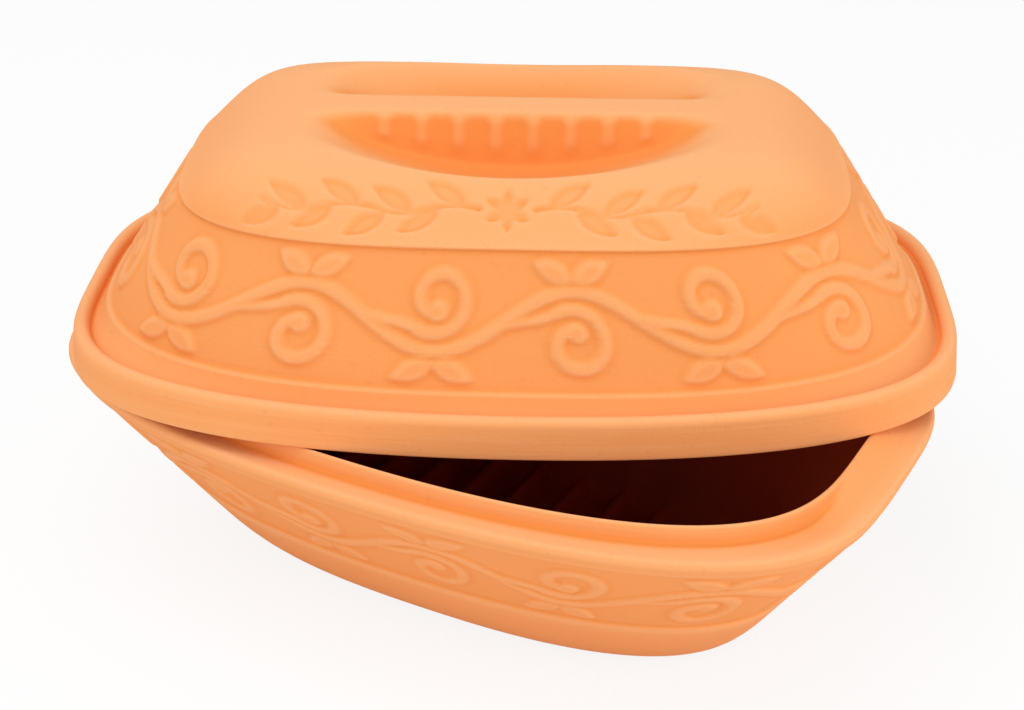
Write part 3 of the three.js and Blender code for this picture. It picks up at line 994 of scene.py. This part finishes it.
# Painted shade on the band's sunk field; lid_top gives that of the scoops and the sprig
hollow_shade = FIELD_SHADE * cut / FRIEZE_DEPTH
places = np.empty((3, len(ring)))
places[:, edge] = place_rings(lid_outer, LID_PLAN, first[edge], second[edge], ring[edge], cut[edge])
x, y, z, hollow_shade[~edge] = lid_top(first[~edge], second[~edge])
places[:, ~edge] = x, y, z
set_places(lid, *lay_on_dish(*places))
keep_values(lid, "hollow_shade", hollow_shade)
print("lid outside:", len(lid.data.polygons), "faces")

# %% [markdown]
# Under the lid the clay is one wall thick. The inside follows the outside at that distance,
# and bulges down under the scoops so that the clay is no thinner there.
# It is seldom seen, so a coarse net is enough.

# %% Lid inside
LID_WALL = 8.5
MOUTH_CLEARANCE = 1.5
NECK_RISE = 4
LID_SEAM = 1.0
CEILING_BLEND = 0.15
INSIDE_COLUMNS = 56
INSIDE_ROWS = 40


def lid_inner_rings():
    rise = CREASE_HEIGHT - LEDGE_HEIGHT
    across = [LID_WALL * math.hypot(1, (CREASE[i] - LEDGE[i]) / rise) for i in range(2)]
    crease = tuple(np.add(CREASE, across))
    ledge = tuple(np.add(LEDGE, across))
    mouth = tuple(LID_OVERHANG + inset - MOUTH_CLEARANCE for inset in FLANGE)
    rings = [ring_at(crease, CREASE_HEIGHT - LID_WALL / 2, LID_TOP_POWERS)]
    extend(rings, 8, ring_at(ledge, LEDGE_HEIGHT, LID_FOOT_POWERS))
    neck = ring_at(mouth, LIP_HEIGHT + MOUTH_CLEARANCE, RIM_POWERS)
    extend(rings, 4, ring_at(mouth, LEDGE_HEIGHT - NECK_RISE, RIM_POWERS), neck)
    extend(rings, 2, ring_at(mouth, LID_SEAM, RIM_POWERS))
    return rings


lid_inner = lid_inner_rings()
lid_inside = square_net("lid_inside", INSIDE_COLUMNS, INSIDE_ROWS, len(lid_inner) - 1)
first, second, ring = net_places(lid_inside)
along, across, reach = directions(first, second)
x, y, z = place_rings(lid_inner, LID_PLAN, along, across, ring, 0)
x = x * reach
y = y * reach
top = shoulder(shoulder_share(x, y))[2]
ceiling = z + (top - LID_WALL - z) * soft_step(0, CEILING_BLEND, 1 - reach)
along_scoop = x / (SCOOP_HALF_LENGTH + LID_WALL)
across_scoop = y / (SCOOP_MIDDLE + SCOOP_REACH + LID_WALL)
room = np.clip(1 - along_scoop**2 - across_scoop**2, 0, 1)
bulge = LID_HEIGHT - (SCOOP_DEPTH + LID_WALL) * np.sqrt(room)
z = np.where(ring == 0, np.minimum(ceiling, bulge), z)
set_places(lid_inside, *lay_on_dish(x, y, z))
print("lid inside:", len(lid_inside.data.polygons), "faces")

# %% [markdown]
# ## Clay and glaze
#
# Fired clay is matt. Its colour drifts softly over the surface, with a fine grain, a few darker specks,
# and faint level streaks where the wet clay was wiped. Light and shade are painted into it as well:
# a painted highlight on edges and on faces that look up, and painted shade in hollows and creases.
# The glaze is a dark brown coat. It is painted lighter and redder towards the lip, and has a painted
# highlight along the ribs.
# Both could be painted images, but those need an unwrapped mesh, so noise in the object's coordinates is
# used. The grain and the masks for painted light and shade are groups, because clay and glaze share them.

# %% Node helpers
def feed(tree, socket, value):
    """Sets a socket to a plain value, or links another node's output to it."""
    if isinstance(value, bpy.types.NodeSocket):
        tree.links.new(value, socket)
    else:
        socket.default_value = value


def node(tree, kind, *values, **named):
    """A new node, with its inputs fed in their order or by name."""
    made = tree.nodes.new(kind)
    for socket, value in zip(made.inputs, values):
        feed(tree, socket, value)
    for name, value in named.items():
        feed(tree, made.inputs[name], value)
    return made


def maths(tree, operation, *values, clamp=False):
    made = node(tree, "ShaderNodeMath", *values)
    made.operation = operation
    made.use_clamp = clamp
    return made.outputs[0]


def ramp(tree, value, low, high):
    """Maps low to high of a value onto 0 to 1."""
    return node(tree, "ShaderNodeMapRange", value, low, high).outputs["Result"]


def noise(tree, place, scale, detail, roughness=0.55):
    made = node(tree, "ShaderNodeTexNoise", Vector=place, Scale=scale, Detail=detail, Roughness=roughness)
    return made.outputs["Fac"]


def new_group(name, inputs, outputs):
    tree = bpy.data.node_groups.new(name, "ShaderNodeTree")
    for label, value in inputs.items():
        socket = tree.interface.new_socket(label, in_out="INPUT", socket_type="NodeSocketFloat")
        socket.default_value = value
    for label in outputs:
        tree.interface.new_socket(label, in_out="OUTPUT", socket_type="NodeSocketFloat")
    return tree, tree.nodes.new("NodeGroupInput").outputs, tree.nodes.new("NodeGroupOutput").inputs


print("node helpers defined")

# %% Grain, and masks for painted light and shade
GRAIN_SCALES = {"Grain Scale": 900.0, "Streak Scale": 700.0}
DRIFT_SCALE = 13.0
SPECK_SCALE = 330.0
SPECK_RANGE = (0.66, 0.74)
STREAK_STRETCH = (0.02, 0.02, 1.0)
STEEP = (0.55, 0.2)
UPWARD = (0.5, 1.0)
SHARPNESS = 0.04
FLAT = 0.5


def fired_grain_and_top_light():
    """Fired clay's drift, grain, specks and steep-face streaks, and a mask of faces that look up, for painted
    top light.
    """
    labels = ("Drift", "Grain", "Specks", "Streaks", "Upward")
    tree, given, result = new_group("fired_grain_and_top_light", GRAIN_SCALES, labels)
    place = tree.nodes.new("ShaderNodeTexCoord").outputs["Object"]
    level = node(tree, "ShaderNodeMapping", Vector=place, Scale=STREAK_STRETCH).outputs["Vector"]
    streaks = noise(tree, level, given["Streak Scale"], 3.0, 0.6)
    normal = tree.nodes.new("ShaderNodeNewGeometry").outputs["Normal"]
    facing = node(tree, "ShaderNodeSeparateXYZ", normal).outputs["Z"]
    steep = ramp(tree, maths(tree, "ABSOLUTE", facing), *STEEP)
    feed(tree, result["Drift"], noise(tree, place, DRIFT_SCALE, 4.0))
    feed(tree, result["Grain"], noise(tree, place, given["Grain Scale"], 3.0))
    feed(tree, result["Specks"], ramp(tree, noise(tree, place, SPECK_SCALE, 2.0, 0.4), *SPECK_RANGE))
    feed(tree, result["Streaks"], maths(tree, "MULTIPLY", streaks, steep))
    feed(tree, result["Upward"], ramp(tree, facing, *UPWARD))
    return tree


def edge_light_and_shade():
    """Masks from how the surface bends: 1 on convex edges for a painted highlight, 1 in hollows for painted
    shade.
    """
    tree, given, result = new_group("edge_light_and_shade", {"Sharpness": SHARPNESS}, ("Edges", "Hollows"))
    bent = tree.nodes.new("ShaderNodeNewGeometry").outputs["Pointiness"]
    for label, larger, smaller in (("Edges", bent, FLAT), ("Hollows", FLAT, bent)):
        past_flat = maths(tree, "SUBTRACT", larger, smaller)
        feed(tree, result[label], maths(tree, "DIVIDE", past_flat, given["Sharpness"], clamp=True))
    return tree


grain_and_light_group = fired_grain_and_top_light()
edge_group = edge_light_and_shade()
print("groups:", grain_and_light_group.name, edge_group.name)

# %% Material helpers
def layered(tree, colour, *layers):
    """A colour under layers. Each is a value, the range of it that maps onto 0 to 1, and its own colour."""
    for value, low, high, tone in layers:
        made = tree.nodes.new("ShaderNodeMix")
        made.data_type = "RGBA"
        sockets = {socket.identifier: socket for socket in (*made.inputs, *made.outputs)}
        feed(tree, sockets["Factor_Float"], ramp(tree, value, low, high))
        feed(tree, sockets["A_Color"], colour)
        feed(tree, sockets["B_Color"], tone)
        colour = sockets["Result_Color"]
    return colour


def place_group(tree, group):
    made = tree.nodes.new("ShaderNodeGroup")
    made.node_tree = group
    return made


def stored(tree, name):
    """A value that a piece stores at each point."""
    made = tree.nodes.new("ShaderNodeAttribute")
    made.attribute_name = name
    return made.outputs["Fac"]


def new_material(name):
    material = bpy.data.materials.new(name)
    material.use_nodes = True
    return material, material.node_tree


def dress(tree, colour, roughness, shine, height, distance, strength):
    """Gives the tree's shader its looks, with a bump of this height, distance and strength."""
    bump = node(tree, "ShaderNodeBump", Height=height, Distance=distance, Strength=strength)
    shader = tree.nodes["Principled BSDF"].inputs
    feed(tree, shader["Base Color"], colour)
    feed(tree, shader["Roughness"], roughness)
    feed(tree, shader["Specular IOR Level"], shine)
    feed(tree, shader["Normal"], bump.outputs["Normal"])


print("material helpers defined")

# %% Fired clay
# Deepest tone: the grain, and painted shade in hollows. Palest: the streaks, and a painted highlight on edges
# and tops. Crease: painted shade.
CLAY_GRAIN_AND_SHADE = (0.86, 0.285, 0.062, 1)
CLAY_MIDDLE = (0.87, 0.33, 0.103, 1)
CLAY_WARM = (0.89, 0.35, 0.118, 1)
CLAY_STREAK_AND_HIGHLIGHT = (0.90, 0.425, 0.18, 1)
CLAY_SPECK = (0.62, 0.21, 0.07, 1)
CLAY_CREASE_SHADE = (0.58, 0.17, 0.027, 1)
CLAY_ROUGHNESS = 0.85
CLAY_SHINE = 0.25
CLAY_BUMP = (0.0004, 0.3)
STREAK_BUMP = 1.2


clay, tree = new_material("fired_clay")
grain = place_group(tree, grain_and_light_group).outputs
edges = place_group(tree, edge_group).outputs
hollow_shade = stored(tree, "hollow_shade")
colour = layered(
    tree,
    CLAY_MIDDLE,
    (grain["Drift"], 0.3, 0.7, CLAY_WARM),
    # Painted top light on faces that look up
    (grain["Upward"], 0, 1, CLAY_STREAK_AND_HIGHLIGHT),
    (grain["Streaks"], 0.45, 1.1, CLAY_STREAK_AND_HIGHLIGHT),
    # Painted shade in hollows, darker still in sharp creases
    (hollow_shade, 0, 1, CLAY_GRAIN_AND_SHADE),
    (hollow_shade, 1, 2, CLAY_CREASE_SHADE),
    # Painted highlight on convex edges, and painted shade in crevices
    (edges["Edges"], 0, 1.6, CLAY_STREAK_AND_HIGHLIGHT),
    (edges["Hollows"], 0, 1, CLAY_GRAIN_AND_SHADE),
    (grain["Grain"], 0.45, 2.6, CLAY_GRAIN_AND_SHADE),
    (grain["Specks"], 0, 9, CLAY_SPECK),
)
height = maths(tree, "MULTIPLY_ADD", grain["Streaks"], STREAK_BUMP, grain["Grain"])
dress(tree, colour, CLAY_ROUGHNESS, CLAY_SHINE, height, *CLAY_BUMP)
print("material:", clay.name)

# %% Dark glaze
# The brown is the glaze's own drift and also a painted highlight on edges and rib crests; the red near the
# mouth is painted light
GLAZE_DARK = (0.10, 0.006, 0.002, 1)
GLAZE_BROWN_AND_HIGHLIGHT = (0.24, 0.026, 0.006, 1)
GLAZE_MOUTH_LIGHT = (0.55, 0.08, 0.018, 1)
GLAZE_GRAIN = 250.0
GLAZE_ROUGHNESS = (-0.6, 2.2)
GLAZE_SHINE = 0.3
GLAZE_BUMP = (0.0003, 0.2)


glaze, tree = new_material("dark_glaze")
coat = place_group(tree, grain_and_light_group)
coat.inputs["Grain Scale"].default_value = GLAZE_GRAIN
grain = coat.outputs["Grain"]
edges = place_group(tree, edge_group).outputs["Edges"]
place = tree.nodes.new("ShaderNodeTexCoord").outputs["Object"]
level = node(tree, "ShaderNodeSeparateXYZ", place).outputs["Z"]
colour = layered(
    tree,
    GLAZE_DARK,
    (coat.outputs["Drift"], 0.3, 0.7, GLAZE_BROWN_AND_HIGHLIGHT),
    # Painted highlight on edges and rib crests
    (edges, 0, 1, GLAZE_BROWN_AND_HIGHLIGHT),
    (stored(tree, "crest"), 0, 1.8, GLAZE_BROWN_AND_HIGHLIGHT),
    # Painted light: lighter and redder towards the mouth
    (level, 0.02, 0.09, GLAZE_MOUTH_LIGHT),
)
dress(tree, colour, ramp(tree, grain, *GLAZE_ROUGHNESS), GLAZE_SHINE, grain, *GLAZE_BUMP)
print("material:", glaze.name)

# %% [markdown]
# ## Closing the shells
#
# Each piece is still an outer and an inner net with open edges. They are joined into one object, and Bridge
# Edge Loops closes the gap between the two edges. Then the normals are set to point outwards.
# On the dish, the inner faces below the lip's edge wear the glaze.

# %% Close the pieces
def close_shell(outside, inside, seam_slot):
    """Joins two open nets and bridges their edges. The seam wears the material in seam_slot."""
    bpy.ops.object.select_all(action="DESELECT")
    inside.select_set(True)
    outside.select_set(True)
    bpy.context.view_layer.objects.active = outside
    bpy.ops.object.join()
    bpy.ops.object.mode_set(mode="EDIT")
    bpy.ops.mesh.select_mode(type="EDGE")
    bpy.ops.mesh.select_all(action="DESELECT")
    bpy.ops.mesh.select_non_manifold(
        use_wire=False, use_multi_face=False, use_non_contiguous=False, use_verts=False
    )
    bpy.ops.mesh.bridge_edge_loops()
    outside.active_material_index = seam_slot
    bpy.ops.object.material_slot_assign()
    bpy.ops.mesh.select_all(action="SELECT")
    bpy.ops.mesh.normals_make_consistent(inside=False)
    bpy.ops.mesh.select_all(action="DESELECT")
    bpy.ops.mesh.select_non_manifold()
    bpy.ops.object.mode_set(mode="OBJECT")
    open_edges = sum(edge.select for edge in outside.data.edges)
    outside.data.shade_smooth()
    outside.data.calc_loop_triangles()
    print(outside.name, len(outside.data.loop_triangles), "triangles,", open_edges, "open edges")


for net in (dish, dish_inside, lid, lid_inside):
    net.data.materials.append(clay)
for net in (dish, dish_inside):
    net.data.materials.append(glaze)
for face in dish.data.polygons:
    if min(dish_rings[v] for v in face.vertices) >= glaze_ring - 1:
        face.material_index = 1
for face in dish_inside.data.polygons:
    face.material_index = 1

close_shell(dish, dish_inside, 1)
close_shell(lid, lid_inside, 0)

# %% [markdown]
# ## Standing for the solids
#
# Each piece rides on its body, so that the lid lifts off in the poses,
# and hides the plain solid that it stands for.

# %% Ride
for piece, body, slot in ((dish, "dish", "dish_clay"), (lid, "lid", "lid_clay")):
    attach(piece, body)
    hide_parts(body)
print("pieces:", dish.name, lid.name)

# %% [markdown]
# ## Floor and light
#
# The photograph is a catalogue cut-out on white, lit softly from above and in front.
# A pale floor keeps a faint shadow. The world shows white to the camera, and lights only as a soft fill.

# %% Floor
FLOOR_SIZE = 12.0
FLOOR_COLOUR = (0.93, 0.93, 0.93, 1)
FLOOR_LIFT = 0.85
WHITE = (1, 1, 1, 1)


def seen_directly(tree):
    """1 for rays from the camera, and for mirrored and refracted ones."""
    rays = tree.nodes.new("ShaderNodeLightPath").outputs
    share = rays["Is Camera Ray"]
    for label in ("Is Glossy Ray", "Is Transmission Ray"):
        share = maths(tree, "MAXIMUM", share, rays[label])
    return share


def show_mixed(tree, output, share, first, second):
    """Mixes two shaders into the tree's output."""
    both = node(tree, "ShaderNodeMixShader", share, first.outputs[0], second.outputs[0])
    node(tree, output, both.outputs[0])


bpy.ops.mesh.primitive_plane_add(size=FLOOR_SIZE, location=(0, 0, cad_box[0].z))
floor = bpy.context.object
floor.name = "floor"

# Part of what the camera sees of the floor is held at white, so that the shadow is faint
material, tree = new_material("pale_floor")
tree.nodes.clear()
paint = node(tree, "ShaderNodeBsdfDiffuse", Color=FLOOR_COLOUR)
white = node(tree, "ShaderNodeEmission", Color=WHITE, Strength=1.0)
share = maths(tree, "MULTIPLY", seen_directly(tree), FLOOR_LIFT)
show_mixed(tree, "ShaderNodeOutputMaterial", share, paint, white)
floor.data.materials.append(material)
print("floor:", FLOOR_SIZE, "m")

# %% World and lamps
WORLD_LIGHT = 0.56
LAMP_AIM = Vector((0, 0.02, 0.1))
LAMPS = (
    ("top_softbox", Vector((-0.3, -0.3, 1.5)), 1.4, 10.0),
    ("front_softbox", Vector((0.1, -1.45, 0.85)), 1.0, 6.0),
    ("right_softbox", Vector((1.5, 0.1, 0.5)), 1.0, 8.0),
)

world = bpy.data.worlds.new("white_studio")
world.use_nodes = True
scene.world = world
tree = world.node_tree
tree.nodes.clear()
fill = node(tree, "ShaderNodeBackground", Color=WHITE, Strength=WORLD_LIGHT)
shown = node(tree, "ShaderNodeBackground", Color=WHITE, Strength=1.0)
show_mixed(tree, "ShaderNodeOutputWorld", seen_directly(tree), fill, shown)

for name, place, size, power in LAMPS:
    bpy.ops.object.light_add(type="AREA", location=place)
    lamp = bpy.context.object
    lamp.name = name
    lamp.data.size = size
    lamp.data.energy = power
    lamp.rotation_euler = (LAMP_AIM - place).to_track_quat("-Z", "Y").to_euler()
    print("lamp:", name, size, "m,", power, "W")
